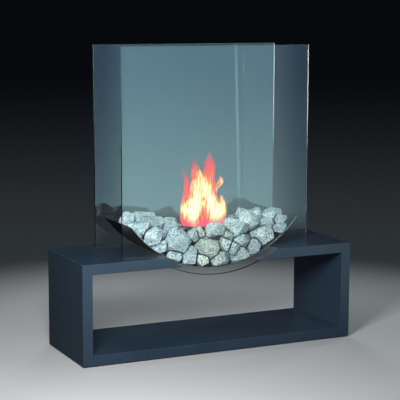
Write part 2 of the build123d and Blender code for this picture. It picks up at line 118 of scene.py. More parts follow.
class Graph:
    def __init__(self, tree):
        self.tree = tree

    def put(self, kind, settings=None, sockets=None, out=0):
        # one node: its type, its settings, then its sockets' values or links
        node = self.tree.nodes.new(kind)
        for key, value in (settings or {}).items():
            if key == "stops":
                elements = node.color_ramp.elements
                elements.remove(elements[-1])
                elements[0].position, elements[0].color = value[0]
                for position, colour in value[1:]:
                    elements.new(position).color = colour
            else:
                setattr(node, key, value)
        for key, value in (sockets or {}).items():
            if isinstance(value, Wire):
                self.tree.links.new(value.socket, node.inputs[key])
            else:
                node.inputs[key].default_value = value
        return Wire(self, node.outputs[out]) if len(node.outputs) else None

    def at(self):
        return self.put("ShaderNodeTexCoord", out="Object")

    def normal(self, axis):
        return self.part(self.put("ShaderNodeNewGeometry", out="Normal"), axis)

    def stored(self, name):
        return self.put("ShaderNodeAttribute", {"attribute_name": name}, out="Fac")

    def ray(self, kind):
        return self.put("ShaderNodeLightPath", out=kind)

    def part(self, vector, axis):
        return self.put("ShaderNodeSeparateXYZ", None, {0: vector}, axis)

    def stretch(self, vector, scale, turn=(0, 0, 0)):
        return self.put("ShaderNodeMapping", None, {"Vector": vector, "Scale": scale, "Rotation": turn})

    def shift(self, vector, other):
        return self.put("ShaderNodeVectorMath", {"operation": "ADD"}, {0: vector, 1: other})

    def times(self, vector, factor):
        return self.put("ShaderNodeVectorMath", {"operation": "SCALE"}, {0: vector, "Scale": factor})

    def length(self, vector):
        return self.put("ShaderNodeVectorMath", {"operation": "LENGTH"}, {0: vector}, "Value")

    def fromAxis(self, vector):
        # how far a point is from the bowl's axis, which runs from front to back
        return self.length(self.shift(self.stretch(vector, (1, 0, 1)), (0, 0, -axisHeight)))

    def clouds(self, vector, size, detail=2.0, rough=0.5, out=0):
        # noise whose patches are about size across
        return self.put("ShaderNodeTexNoise", None,
                        {"Vector": vector, "Scale": 1 / size, "Detail": detail, "Roughness": rough}, out)

    def cells(self, vector, size, out="Distance"):
        return self.put("ShaderNodeTexVoronoi", None, {"Vector": vector, "Scale": 1 / size}, out)

    def flakes(self, vector, size, channel=0):
        # one random value for each cell
        return self.part(self.cells(vector, size, "Color"), channel)

    def between(self, value, low, high, start=0.0, end=1.0):
        # a smooth step from start to end while value goes from low to high
        return self.put("ShaderNodeMapRange", {"interpolation_type": "SMOOTHSTEP"},
                        {0: value, 1: low, 2: high, 3: start, 4: end})

    def blend(self, share, first, second, kind="MIX"):
        return self.put("ShaderNodeMix", {"data_type": "RGBA", "blend_type": kind},
                        {0: share, 6: first, 7: second}, 2)

    def ramp(self, value, *stops):
        return self.put("ShaderNodeValToRGB", {"stops": stops}, {0: value})

    def tones(self, value, settings):
        return self.ramp(value, (0.3, settings["dark"]), (0.7, settings["pale"]))

    def bump(self, height, distance, strength=1.0):
        return self.put("ShaderNodeBump", None,
                        {"Height": height, "Distance": distance, "Strength": strength})


class Finish(Graph):
    def __init__(self, name):
        self.material = bpy.data.materials.new(name)
        self.material.use_nodes = True
        Graph.__init__(self, self.material.node_tree)
        self.tree.nodes.clear()

    def body(self, **sockets):
        named = {key.replace("_", " "): value for key, value in sockets.items()}
        return self.put("ShaderNodeBsdfPrincipled", None, named)

    def clear(self, tint=(1, 1, 1, 1)):
        return self.put("ShaderNodeBsdfTransparent", None, {0: tint})

    def either(self, share, first, second):
        return self.put("ShaderNodeMixShader", None, {0: share, 1: first, 2: second})

    def done(self, surface):
        self.put("ShaderNodeOutputMaterial", None, {"Surface": surface})
        return self.material


def hold(mesh, name="holder"):
    holder = bpy.data.objects.new(name, mesh)
    scene.collection.objects.link(holder)
    return holder


def settled(holder):
    # the object's mesh with its modifiers applied, as a new plain mesh
    graph = bpy.context.evaluated_depsgraph_get()
    mesh = bpy.data.meshes.new_from_object(holder.evaluated_get(graph), preserve_all_data_layers=True,
                                           depsgraph=graph)
    bpy.data.objects.remove(holder)
    return mesh


def remade(mesh, kind, **settings):
    # the mesh after one modifier
    holder = hold(mesh)
    maker = holder.modifiers.new(kind.lower(), kind)
    for key, value in settings.items():
        setattr(maker, key, value)
    return settled(holder)


def plainMesh(name, work):
    mesh = bpy.data.meshes.new(name)
    work.to_mesh(mesh)
    work.free()
    return mesh


def store(mesh, name, values):
    mesh.attributes.new(name, "FLOAT", "POINT").data.foreach_set("value", values)


def shade(mesh, degrees):
    # smooth, but sharp where faces meet at more than this angle
    mesh.shade_smooth()
    mesh.set_sharp_from_angle(angle=math.radians(degrees))


def place(name, mesh, material, body, slotName=None, standsFor=()):
    mesh.materials.clear()
    mesh.materials.append(material)
    mesh.name = name
    piece = hold(mesh, name)
    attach(piece, body)
    if standsFor:
        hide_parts(*standsFor)
    return piece


def dress(material, *names):
    for name in names:
        nodes[name].material_slots[0].material = material


cameraSettings = {
    "place": (-2.1276, -4.4576, 1.2723),
    "turn": 25.459,  # degrees to the left of the front
    "tilt": 8.351,  # degrees down
    "roll": 0.153,
    "lens": 118.46,  # mm, on a sensor 36 mm wide
    "sensor": 36.0,
    "farEnd": 100,
}


def setCamera(place, turn, tilt, roll, lens, sensor, farEnd):
    turn, tilt, roll = (math.radians(angle) for angle in (turn, tilt, roll))
    ahead = Vector((math.sin(turn) * math.cos(tilt), math.cos(turn) * math.cos(tilt), -math.sin(tilt)))
    level = Vector((math.cos(turn), -math.sin(turn), 0))
    upright = level.cross(ahead)
    right = level * math.cos(roll) + upright * math.sin(roll)
    top = upright * math.cos(roll) - level * math.sin(roll)
    data = bpy.data.cameras.new("camera")
    data.sensor_width = sensor
    data.lens = lens
    data.clip_end = farEnd
    camera = bpy.data.objects.new("camera", data)
    scene.collection.objects.link(camera)
    axes = Matrix((right, top, -ahead)).transposed().to_4x4()
    camera.matrix_world = Matrix.Translation(place) @ axes
    scene.camera = camera


setCamera(**cameraSettings)
print("camera set")


# a dark backdrop behind, and in front a bright softbox that the panes mirror
skySettings = {
    # rise, side and depth are parts of a direction, from -1 to 1: upwards, off the softbox's
    # middle, and towards the front; each pair is where a change starts and where it ends
    "backRise": (-0.20, -0.045),
    "backLow": paint(46, 51, 54),
    "backHigh": paint(8, 9, 13),
    "frontDepth": (0.0, 0.75),
    "frontRise": (-0.30, 0.12),
    "frontLow": (0.08, 0.09, 0.10, 1),
    "frontHigh": (0.34, 0.39, 0.44, 1),
    "ceilingRise": (0.25, 0.85),
    "ceilingLight": (0.15, 0.165, 0.18, 1),
    # a low bright band behind, above the view, that the panes' top edges mirror
    "bandFoot": (0.016, 0.026),
    "bandHead": (0.060, 0.090),
    "bandSide": (0.12, 0.22),
    "bandDepth": (-0.7, -0.4),
    "bandLight": (1.5, 1.65, 1.7, 1),
    "softboxTurn": 25.5,  # degrees to the right of the front
    "softboxDepth": (0.3, 0.6),
    "softboxSide": (0.088, 0.135),
    "softboxFoot": (-0.172, -0.150),
    "softboxHead": (0.05, 0.14),
    "softboxRise": (-0.175, -0.02),
    "softboxLow": (0.68, 1.12, 1.40, 1),
    "softboxHigh": (0.38, 0.70, 1.05, 1),
    "middleSide": (0.052, 0.078),  # its middle is brighter
    "middleGain": (1.95, 1.86, 1.60, 1),
    "leftGain": 2.0,  # and so is its left end
    # one bright upright bar on it, which fades downwards
    "barPlace": 0.0254,
    "barLean": 0.0245,
    "barSide": (0.0006, 0.0013),
    "barGain": 0.55,
    "barRise": (-0.15, -0.06),
    "barFoot": 0.4,
    # beneath it the studio is dark
    "underSide": (0.16, 0.30),
    "underFoot": (-0.5, -0.35),
    "underHead": (-0.172, -0.14),
    "underLight": (0.10, 0.12, 0.13, 1),
}


def setSky(settings):
    world = bpy.data.worlds.new("studio")
    scene.world = world
    world.use_nodes = True
    sky = Graph(world.node_tree)
    sky.tree.nodes.clear()
    way = sky.put("ShaderNodeTexCoord", out="Generated")
    wayX, wayY, rise = (sky.part(way, axis) for axis in range(3))
    turn = math.radians(settings["softboxTurn"])
    across = wayX * math.cos(turn) + wayY * math.sin(turn)
    side = abs(across)
    depth = wayX * math.sin(turn) - wayY * math.cos(turn)

    def starts(value, key):
        return sky.between(value, *settings[key])

    def ends(value, key):
        return sky.between(value, *settings[key], 1, 0)

    back = sky.ramp(starts(rise, "backRise"), (0, settings["backLow"]), (1, settings["backHigh"]))
    ahead = sky.blend(starts(rise, "frontRise"), settings["frontLow"], settings["frontHigh"])
    lit = sky.blend(starts(depth, "frontDepth"), back, ahead)
    lit = sky.blend(starts(rise, "ceilingRise"), lit, settings["ceilingLight"])
    band = starts(rise, "bandFoot") * ends(rise, "bandHead")
    band = band * ends(side, "bandSide") * ends(depth, "bandDepth")
    lit = sky.blend(band, lit, settings["bandLight"])
    facing = starts(depth, "softboxDepth")
    under = ends(side, "underSide") * facing * ends(rise, "underHead")
    lit = sky.blend(under * starts(rise, "underFoot"), lit, settings["underLight"])
    softbox = sky.blend(starts(rise, "softboxRise"), settings["softboxLow"], settings["softboxHigh"])
    brighter = sky.blend(1.0, softbox, settings["middleGain"], "MULTIPLY")
    softbox = sky.blend(ends(side, "middleSide"), softbox, brighter)
    bar = abs(across - settings["barPlace"] + rise * settings["barLean"])
    bar = sky.between(bar, *settings["barSide"], settings["barGain"], 0)
    bar = bar * sky.between(rise, *settings["barRise"], settings["barFoot"], 1)
    softbox = sky.times(softbox, 1.0 - across * settings["leftGain"] + bar)
    tall = starts(rise, "softboxFoot") * ends(rise, "softboxHead")
    share = ends(side, "softboxSide") * facing * tall
    light = sky.put("ShaderNodeBackground", None, {0: sky.blend(share, lit, softbox), 1: 1.0})
    sky.put("ShaderNodeOutputWorld", None, {0: light})


floorSettings = {
    "radius": 3.0,
    "sides": 128,
    "fade": (0.85, 1.9),  # radii between which it ends
    "colour": paint(176, 177, 177),
    "bounce": paint(50, 53, 56),  # what it throws back at the object
    "roughness": 0.75,
    "grain": 0.004,
    "grainDepth": 0.0002,
}


def setFloor(settings):
    disc = bmesh.new()
    bmesh.ops.create_circle(disc, cap_ends=True, segments=settings["sides"], radius=settings["radius"])
    floor = hold(plainMesh("floor", disc), "floor")
    look = Finish("paleFloor")
    at = look.at()
    seen = look.ray("Is Camera Ray").most(look.ray("Is Transmission Ray"))
    grain = look.clouds(at, settings["grain"], 3)
    surface = look.body(
        Base_Color=look.blend(seen, settings["bounce"], settings["colour"]),
        Roughness=settings["roughness"], Specular_IOR_Level=0.1,
        Normal=look.bump(grain, settings["grainDepth"], 0.3))
    fade = look.between(look.length(at), *settings["fade"])
    floor.data.materials.append(look.done(look.either(fade, surface, look.clear())))


lampSettings = {
    # place, size, power, colour, and the rays that see it
    "keyLamp": ((-1.15, -1.45, 1.12), (0.45, 0.45), 50.0, (1.0, 1.0, 1.0), ("glossy",)),
    "rimLamp": ((2.7, 0.9, 1.3), (0.5, 1.6), 14.0, (0.72, 1.0, 0.98), ("glossy", "transmission")),
    "backLamp": ((0.9, 2.3, 1.7), (0.9, 0.9), 20.0, (1.0, 1.0, 1.0), ()),
}
lampTarget = (0, 0, 0.45)


def setLamp(name, spot, size, power, colour, rays):
    data = bpy.data.lights.new(name, "AREA")
    data.shape = "RECTANGLE"
    data.size, data.size_y = size
    data.energy = power
    data.color = colour
    lamp = bpy.data.objects.new(name, data)
    scene.collection.objects.link(lamp)
    lamp.location = spot
    for ray in ("camera", "glossy", "transmission"):
        setattr(lamp, "visible_" + ray, ray in rays)
    aim = Vector(lampTarget) - Vector(spot)
    lamp.rotation_euler = aim.to_track_quat("-Z", "Y").to_euler()


setSky(skySettings)
setFloor(floorSettings)
for name, lamp in lampSettings.items():
    setLamp(name, *lamp)
print("studio set")


lacquerSettings = {
    "colour": paint(36, 52, 67),
    "haze": paint(78, 95, 109),
    "hazeSize": 0.22,
    "hazeShare": 0.10,
    "dust": paint(112, 128, 140),
    "dustSize": 0.0022,
    "dustShare": 0.25,
    "worn": paint(74, 92, 106),  # along the boards' arrises
    "wornSize": 0.03,
    "wornShare": 0.5,
    "wornWidth": 0.0022,
    "roughness": 0.30,
    "smearSize": 0.09,
    "smearDepth": 0.12,
    "peelSize": 0.0032,  # the slight orange peel of sprayed lacquer
    "peelDepth": 0.00012,
    "coat": 0.25,
    "seat": paint(16, 20, 25),  # the arc-shaped cut under the bowl is dull, and painted dark as shade
    "seatRadius": 0.435,
    "seatFade": (0.0006, 0.0014),
    "seatDull": 0.5,
}


def lacquerFinish(settings):
    look = Finish("greyLacquer")
    at = look.at()
    wide, deep, high = (look.part(at, axis) for axis in range(3))
    wide, deep = abs(wide), abs(deep)

    def near(value, face):
        return look.between(abs(value - face), 0, settings["wornWidth"], 1, 0)

    fronts = near(deep, cadBox[1].y)
    sides = near(wide, cadBox[1].x)
    tops = near(high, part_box("left_top_panel")[1].z)
    inner = near(wide, -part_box("left_end_panel")[1].x).most(near(high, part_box("left_top_panel")[0].z))
    edges = fronts.least(sides).most(fronts.least(tops)).most(sides.least(tops)).most(fronts.least(inner))
    rubbed = look.between(look.clouds(at, settings["wornSize"], 4), 0.50, 0.66) * edges
    haze = look.between(look.clouds(at, settings["hazeSize"], 3), 0.3, 0.7, 0, settings["hazeShare"])
    dust = look.between(look.clouds(at, settings["dustSize"], 1), 0.72, 0.80, 0, settings["dustShare"])
    colour = look.blend(haze, settings["colour"], settings["haze"])
    colour = look.blend(dust, colour, settings["dust"])
    colour = look.blend(rubbed * settings["wornShare"], colour, settings["worn"])
    # painted shade on the arc-shaped cut under the bowl
    seat = look.between(look.fromAxis(at) - settings["seatRadius"], *settings["seatFade"], 1, 0)
    colour = look.blend(seat, colour, settings["seat"])
    smears = look.clouds(look.stretch(at, (1, 1, 2.5)), settings["smearSize"], 4) - 0.5
    peel = look.clouds(at, settings["peelSize"], 2)
    return look.done(look.body(
        Base_Color=colour,
        Roughness=settings["roughness"] + smears * settings["smearDepth"] + seat * settings["seatDull"],
        Normal=look.bump(peel, settings["peelDepth"], 0.35),
        Coat_Weight=settings["coat"], Coat_Roughness=0.25, Specular_IOR_Level=0.9))


dress(lacquerFinish(lacquerSettings),
      "bottom_panel", "left_end_panel", "right_end_panel", "left_top_panel", "right_top_panel")
print("boards lacquered")


glassSettings = {
    "face": (0.92, 0.975, 0.965, 1),
    "shadow": (0.95, 0.985, 0.98, 1),  # the tint of what gets straight through
    "index": 1.5,
    "edgeFacing": (0.75, 0.95),  # how far a normal points to the front, from edge to pane
    "edge": paint(120, 186, 188),
    "edgeRoughness": 0.42,
    "grindSize": 0.0012,
    "grindDepth": 0.1,
    "lowHeights": (0.62, 0.98),  # lower down the upright edges get painted shade and are smoother
    "lowShadeEdge": paint(36, 92, 94),
    "dimPolish": 0.28,
    "tongueHeights": (0.345, 0.372),  # below the boards the edges get a darker painted shade
    "tongueShadeEdge": paint(6, 12, 12),
    # the tongues' arc has a rim darkened with the same painted shade
    "arcRadius": 0.454,
    "arcRim": 0.0022,
    "arcFade": 0.0003,
}


def glassFinish(settings):
    look = Finish("clearGlass")
    at = look.at()
    high = look.part(at, 2)
    edge = look.between(abs(look.normal(1)), *settings["edgeFacing"], 1, 0)
    # painted shade: the upright edges are darker lower down
    lowShade = look.between(high, *settings["lowHeights"], 1, 0)
    # a darker painted shade on the edges below the boards
    tongueShade = look.between(high, *settings["tongueHeights"], 1, 0)
    # the arc's rim below the boards gets the same painted shade
    inner = settings["arcRadius"] - settings["arcRim"]
    rim = look.between(look.fromAxis(at), inner, inner + settings["arcFade"]).least(tongueShade)
    colour = look.blend(lowShade, settings["edge"], settings["lowShadeEdge"])
    colour = look.blend(tongueShade, colour, settings["tongueShadeEdge"])
    grind = look.clouds(at, settings["grindSize"], 2) * settings["grindDepth"]
    glass = look.body(
        Base_Color=look.blend(edge.most(rim), settings["face"], colour),
        Roughness=edge * (settings["edgeRoughness"] - lowShade * settings["dimPolish"] + grind),
        Metallic=(edge * tongueShade).most(rim), IOR=settings["index"], Transmission_Weight=1.0)
    through = look.ray("Is Shadow Ray").most(look.ray("Is Diffuse Ray"))
    return look.done(look.either(through, glass, look.clear(settings["shadow"])))


dress(glassFinish(glassSettings), "front_glass_pane", "rear_glass_pane")
print("panes glazed")


bowlSettings = {
    "radius": 0.427,
    "sheet": 0.002,
    "span": 0.682,
    "halfWidth": 0.1303,
    "segments": 128,
    "rounding": 0.0004,
    "bevelFrom": 50,  # degrees between faces that are bevelled, and that stay sharp
    "sharpFrom": 42,
    "dark": paint(142, 142, 150),
    "pale": paint(160, 160, 168),
    "patch": 0.07,
    "brush": 0.0009,
    # distances along the sheet from its middle, between which the heat tint, the painted dark reflection at
    # the ends and the painted shade on the rim start or end
    "heat": paint(140, 126, 136),
    "heatReach": (0.05, 0.16),
    # a painted dark reflection at both ends of the sheet
    "ends": paint(62, 66, 70),
    "endsReach": (0.29, 0.36),
    # its long edges are ground and painted lighter as a highlight, with painted shade in the middle
    "groundHighlight": paint(176, 183, 184),
    "sootAndShade": paint(60, 64, 66),
    "rimShadeReach": (0.14, 0.26),
    "groundFrom": (0.1290, 0.1298),
    "underside": paint(14, 15, 17),  # painted shade on the faces that point down
    "undersideFacing": (-0.35, -0.25),
    "roughness": 0.13,
}


def bowlMesh(settings):
    reach = math.asin(settings["span"] / 2 / settings["radius"])
    count = settings["segments"]
    work = bmesh.new()
    uv = work.loops.layers.uv.new("along")
    rings = []
    for step in range(count + 1):
        angle = -reach + 2 * reach * step / count
        ring = []
        for skin, side in ((0, -1), (0, 1), (1, 1), (1, -1)):
            radius = settings["radius"] - skin * settings["sheet"]
            ring.append(work.verts.new((
                radius * math.sin(angle), side * settings["halfWidth"],
                axisHeight - radius * math.cos(angle))))
        rings.append(ring)
    for before, after in zip(rings, rings[1:]):
        for side in range(4):
            turn = (side + 1) % 4
            work.faces.new((before[side], after[side], after[turn], before[turn]))
    work.faces.new(rings[0])
    work.faces.new(rings[-1][::-1])
    bmesh.ops.recalc_face_normals(work, faces=work.faces)
    for face in work.faces:
        for loop in face.loops:
            point = loop.vert.co
            angle = math.atan2(point.x, axisHeight - point.z)
            loop[uv].uv = (angle * settings["radius"], point.y)
    mesh = remade(plainMesh("fireBowl", work), "BEVEL", width=settings["rounding"], segments=2,
                  limit_method="ANGLE", angle_limit=math.radians(settings["bevelFrom"]))
    shade(mesh, settings["sharpFrom"])
    return mesh


def bowlFinish(settings):
    look = Finish("bowlSteel")
    along = look.put("ShaderNodeUVMap", {"uv_map": "along"})
    fromMiddle = abs(look.part(along, 0))
    brushed = look.clouds(look.stretch(along, (1 / 18, 1, 1)), settings["brush"], 3)
    patches = look.clouds(along, settings["patch"], 3)
    colour = look.tones(patches, settings)
    heat = look.between(fromMiddle, *settings["heatReach"], 0.35, 0)
    colour = look.blend(heat, colour, settings["heat"])
    # a painted dark reflection towards both ends of the sheet
    ends = look.between(fromMiddle, *settings["endsReach"], 0, 0.8)
    colour = look.blend(ends, colour, settings["ends"])
    # the long edges are painted lighter as a highlight towards the ends, with painted shade in the middle
    bright = look.between(fromMiddle, *settings["rimShadeReach"])
    groundHighlight = look.between(abs(look.part(along, 1)), *settings["groundFrom"])
    colour = look.blend(groundHighlight, colour, look.blend(bright, settings["sootAndShade"], settings["groundHighlight"]))
    # painted shade on the faces that point down, which are also duller and less metallic
    under = look.between(look.normal(2), *settings["undersideFacing"], 1, 0)
    undersideShadeShare = under * look.between(patches, 0.2, 0.8, 1.0, 0.92)
    colour = look.blend(undersideShadeShare, colour, settings["underside"])
    return look.done(look.body(
        Base_Color=colour, Metallic=1.0 - under * 0.9, Specular_IOR_Level=0.0,
        Roughness=settings["roughness"] + under.most(groundHighlight) * 0.25 + brushed * 0.12 + patches * 0.05,
        Normal=look.bump(brushed, 0.00004, 0.4)))


place("fire_bowl_sheet", bowlMesh(bowlSettings), bowlFinish(bowlSettings), "bowl", "bowl_steel",
      ["fire_bowl"])
print("bowl rolled")


graniteSettings = {
    # one broken face on each stone: how far it leans from the side that shows, and where it
    # cuts, from the stone's middle at 0 to its surface at 1
    "cutLean": 0.30,
    "cutDepth": (0.72, 0.86),
    # the grid that it is skinned with, and what breaks that up
    "cell": 0.0023,
    "gridDepth": 6,
    "gridFill": 0.99,
    "inputs": {
        "Chip Size": 0.014, "Chip Depth": 0.0005, "Hollow Size": 0.030, "Hollow Depth": 0.0006,
        "Grain Size": 0.0040, "Grain Depth": 0.0005, "Rounding": 1,
    },
    "seedStep": 3.7,
    "sharpFrom": 34,  # degrees between faces that stay sharp
    "pale": ((0.0, paint(186, 206, 218)), (0.5, paint(208, 225, 229)), (1.0, paint(232, 236, 222))),
    "quartz": ((0.0, paint(128, 148, 162)), (1.0, paint(158, 174, 172))),
    "crystal": 0.0030,
    "fleck": 0.45,  # of a crystal
    "bendSize": 0.006,  # what bends the crystals' outlines
    "bend": 0.0035,
    "patch": paint(160, 175, 181),
    "patchSize": 0.018,
    "mica": paint(46, 59, 65),
    "dull": paint(104, 122, 130),  # some stones and some of their faces are duller
    "dullSize": 0.055,
    "pitSize": 0.0016,
    "pitDepth": 0.0007,
    # painted shade where the stones meet
    "gap": paint(22, 30, 34),
    "gapWidth": (0.0012, 0.0065),  # how near the next stone is where the painted gap shade is darkest, and where it ends
    "gapReach": 0.02,  # further away than this nothing is measured
    "gapStride": 3,  # only each third corner of the next stone is measured to
    "creamStone": (-0.038, -0.11, 0.39),  # the middle of the creamiest stone
    "creamTone": 1.4,
    "creamFall": 16,  # less tone for each metre from there
    # tone from blue to cream, and the side that shows
    "groups": {
        "front_left_stones": ((0.35, 0.55), (0, -0.9, 0.2)),
        "front_middle_stones": ((0.55, 0.95), (0, -0.9, 0.2)),
        "front_right_stones": ((0.35, 0.70), (0, -0.9, 0.2)),
        "inner_front_stones": ((0.40, 0.75), (0, -0.6, 0.5)),
        "left_heap_stones": ((0.20, 0.50), (0, -0.2, 0.8)),
        "right_heap_stones": ((0.40, 0.70), (0, -0.2, 0.8)),
        "rear_left_stones": ((0.10, 0.55), (0, 0.6, 0.5)),
        "rear_middle_stones": ((0.20, 0.60), (0, 0.6, 0.5)),
        "rear_right_stones": ((0.20, 0.60), (0, 0.6, 0.5)),
    },
}


def graniteFinish(settings):
    look = Finish("granite")
    at = look.at()
    tone = look.stored("tone")
    bent = look.times(look.clouds(at, settings["bendSize"], 2, out="Color"), settings["bend"])
    bent = look.shift(at, bent)
    mineral = look.flakes(bent, settings["crystal"])
    flecks = look.flakes(bent, settings["crystal"] * settings["fleck"], 1)
    patch = look.clouds(at, settings["patchSize"], 3)
    pale, quartz = (look.ramp(tone, *settings[key]) for key in ("pale", "quartz"))
    colour = look.blend(look.between(mineral, 0.40, 0.46, 0.75, 0), pale, quartz)
    colour = look.blend(look.between(patch, 0.45, 0.70, 0, 0.30), colour, settings["patch"])
    dark = look.between(mineral + (patch - 0.5) * 0.25, 0.14, 0.18, 1, 0)
    fine = look.between(flecks, 0.09, 0.13, 0.75, 0)
    colour = look.blend(dark.most(fine) * 0.95, colour, settings["mica"])
    dull = look.between(look.clouds(at, settings["dullSize"], 1), 0.40, 0.62, 0.0, 0.42)
    colour = look.blend(dull, colour, settings["dull"])
    # painted shade in the gaps, darker where another stone is near
    gap = look.between(look.stored("gap") + (patch - 0.5) * 0.004, *settings["gapWidth"], 0.90, 0)
    colour = look.blend(gap, colour, settings["gap"])
    height = look.clouds(at, settings["pitSize"], 3) + look.cells(bent, settings["crystal"]) * 0.6
    return look.done(look.body(
        Base_Color=colour, Roughness=0.62 - dark * 0.25 + (patch - 0.5) * 0.2,
        Normal=look.bump(height, settings["pitDepth"], 0.7), Specular_IOR_Level=0.4))


def chippedTree(inputs):
    tree = bpy.data.node_groups.new("brokenGranite", "GeometryNodeTree")
    kinds = {name: "Int" if isinstance(value, int) else "Float" for name, value in inputs.items()}
    kinds = {"Geometry": "Geometry", **kinds, "Seed": "Float", "Finish": "Material"}
    for name, kind in kinds.items():
        tree.interface.new_socket(name, in_out="INPUT", socket_type="NodeSocket" + kind)
    tree.interface.new_socket("Geometry", in_out="OUTPUT", socket_type="NodeSocketGeometry")
    work = Graph(tree)
    outputs = work.put("NodeGroupInput").socket.node.outputs
    given = {socket.name: Wire(work, socket) for socket in outputs if socket.name}
    point = work.put("GeometryNodeInputPosition")
    seed = given["Seed"]

    def grains(size, detail):
        return work.put("ShaderNodeTexNoise", {"noise_dimensions": "4D"},
                        {"Vector": point, "W": seed, "Scale": 1.0 / size, "Detail": detail})

    # the arrises are rounded unevenly: more where the noise is high
    uneven = work.between(grains(given["Hollow Size"], 1.0), 0.40, 0.62)
    softened = work.put("GeometryNodeBlurAttribute", {"data_type": "FLOAT_VECTOR"},
                        {"Value": point, "Iterations": given["Rounding"], "Weight": uneven})
    rounded = work.put("GeometryNodeSetPosition", None,
                       {"Geometry": given["Geometry"], "Position": softened})
    chips = work.put("ShaderNodeTexVoronoi", {"voronoi_dimensions": "4D"},
                     {"Vector": point, "W": seed, "Scale": 1.0 / given["Chip Size"]}, "Color")
    ledge = work.part(chips, 0)
    hollow = work.between(grains(given["Hollow Size"], 3.0), 0.35, 0.70)
    grit = grains(given["Grain Size"], 2.0)
    depth = (ledge * given["Chip Depth"] + hollow * given["Hollow Depth"]
             + grit * given["Grain Depth"])
    inward = work.times(work.put("GeometryNodeInputNormal"), depth * -1.0)
    broken = work.put("GeometryNodeSetPosition", None, {"Geometry": rounded, "Offset": inward})
    real = work.put("GeometryNodeRealizeInstances", None, {0: broken})
    dressed = work.put("GeometryNodeSetMaterial", None, {"Geometry": real, "Material": given["Finish"]})
    work.put("NodeGroupOutput", None, {0: dressed})
    return tree


def looseStones(node):
    # the CAD group's stones, each as its own mesh with its faces outwards
    work = bmesh.new()
    work.from_mesh(nodes[node].data)
    bmesh.ops.remove_doubles(work, verts=work.verts, dist=0.00002)
    left = set(work.verts)
    stones = []
    while left:
        start = min(left, key=lambda vert: vert.index)
        found, edge = {start}, [start]
        while edge:
            for link in edge.pop().link_edges:
                for vert in link.verts:
                    if vert not in found:
                        found.add(vert)
                        edge.append(vert)
        left -= found
        order = sorted(found, key=lambda vert: vert.index)
        number = {vert: count for count, vert in enumerate(order)}
        faces = sorted({face for vert in order for face in vert.link_faces}, key=lambda face: face.index)
        stone = bpy.data.meshes.new("stone")
        stone.from_pydata([vert.co for vert in order], [],
                          [[number[vert] for vert in face.verts] for face in faces])
        stones.append(stone)
    work.free()
    return stones


def splitStone(stone, out, draw, settings):
    # one broken face: a plane that takes a slice off the side that shows
    work = bmesh.new()
    work.from_mesh(stone)
    lean = settings["cutLean"]
    way = Vector(out) + Vector([draw.uniform(-lean, lean) for axis in range(3)])
    way.normalize()
    middle = sum((vert.co for vert in work.verts), Vector()) / len(work.verts)
    reach = max((vert.co - middle).dot(way) for vert in work.verts)
    spot = middle + way * reach * draw.uniform(*settings["cutDepth"])
    geometry = work.verts[:] + work.edges[:] + work.faces[:]
    cut = bmesh.ops.bisect_plane(work, geom=geometry, plane_co=spot, plane_no=way, clear_outer=True)
    rim = [item for item in cut["geom_cut"] if isinstance(item, bmesh.types.BMEdge)]
    if rim:
        bmesh.ops.holes_fill(work, edges=rim)
    bmesh.ops.dissolve_limit(work, angle_limit=math.radians(1), verts=work.verts, edges=work.edges)
    bmesh.ops.recalc_face_normals(work, faces=work.faces)
    work.to_mesh(stone)
    work.free()


def gridSkin(stone, settings):
    # an even grid of faces that keeps the stone's arrises sharp
    spread = [max(axis) - min(axis) for axis in zip(*(vert.co for vert in stone.vertices))]
    finest = 2 ** settings["gridDepth"] * settings["cell"]
    return remade(stone, "REMESH", mode="SHARP", octree_depth=settings["gridDepth"],
                  scale=min(settings["gridFill"], max(spread) / finest), sharpness=1.0)


def brokenSkins(settings):
    # every group's stones with their broken faces, each with its tone
    skins = {}
    for count, (node, ((low, high), out)) in enumerate(settings["groups"].items()):
        draw = random.Random(count + 1)
        skins[node] = []
        for stone in looseStones(node):
            splitStone(stone, out, draw, settings)
            skin = gridSkin(stone, settings)
            corners = numpy.array([vert.co for vert in skin.vertices])
            faces = [list(face.vertices) for face in skin.polygons]
            away = numpy.linalg.norm(corners.mean(axis=0) - settings["creamStone"])
            cream = settings["creamTone"] - away * settings["creamFall"]
            tone = max(draw.uniform(low, high), cream)
            skins[node].append((corners, faces, min(1.0, tone)))
            bpy.data.meshes.remove(skin)
    return skins


def nearness(corners, others, settings):
    # how far each corner is from the nearest other stone
    reach = settings["gapReach"]
    low, high = corners.min(axis=0) - reach, corners.max(axis=0) + reach
    best = numpy.full(len(corners), reach)
    for other in others:
        close = other[numpy.all((other > low) & (other < high), axis=1)][::settings["gapStride"]]
        if len(close):
            gaps = numpy.linalg.norm(corners[:, None, :] - close[None, :, :], axis=2)
            best = numpy.minimum(best, gaps.min(axis=1))
    return best


def stoneGroup(node, skins, tree, settings, seed):
    corners, faces, tones, gaps = [], [], [], []
    everyStone = [stone[0] for group in skins.values() for stone in group]
    for stone, outline, tone in skins[node]:
        faces += [[len(corners) + index for index in face] for face in outline]
        corners += [tuple(corner) for corner in stone]
        tones += [tone] * len(stone)
        gaps += list(nearness(stone, [other for other in everyStone if other is not stone], settings))
    mesh = bpy.data.meshes.new(node)
    mesh.from_pydata(corners, [], faces)
    store(mesh, "tone", tones)
    # the distances that the granite's painted gap shade reads
    store(mesh, "gap", gaps)
    holder = hold(mesh)
    maker = holder.modifiers.new("brokenGranite", "NODES")
    maker.node_group = tree
    values = {**settings["inputs"], "Seed": seed * settings["seedStep"], "Finish": granite}
    for socket in tree.interface.items_tree:
        if socket.in_out == "INPUT" and socket.name in values:
            maker[socket.identifier] = values[socket.name]
    mesh = settled(holder)
    shade(mesh, settings["sharpFrom"])
    place(node + "_broken", mesh, granite, "bowl", "granite", [node])
    return len(mesh.polygons)


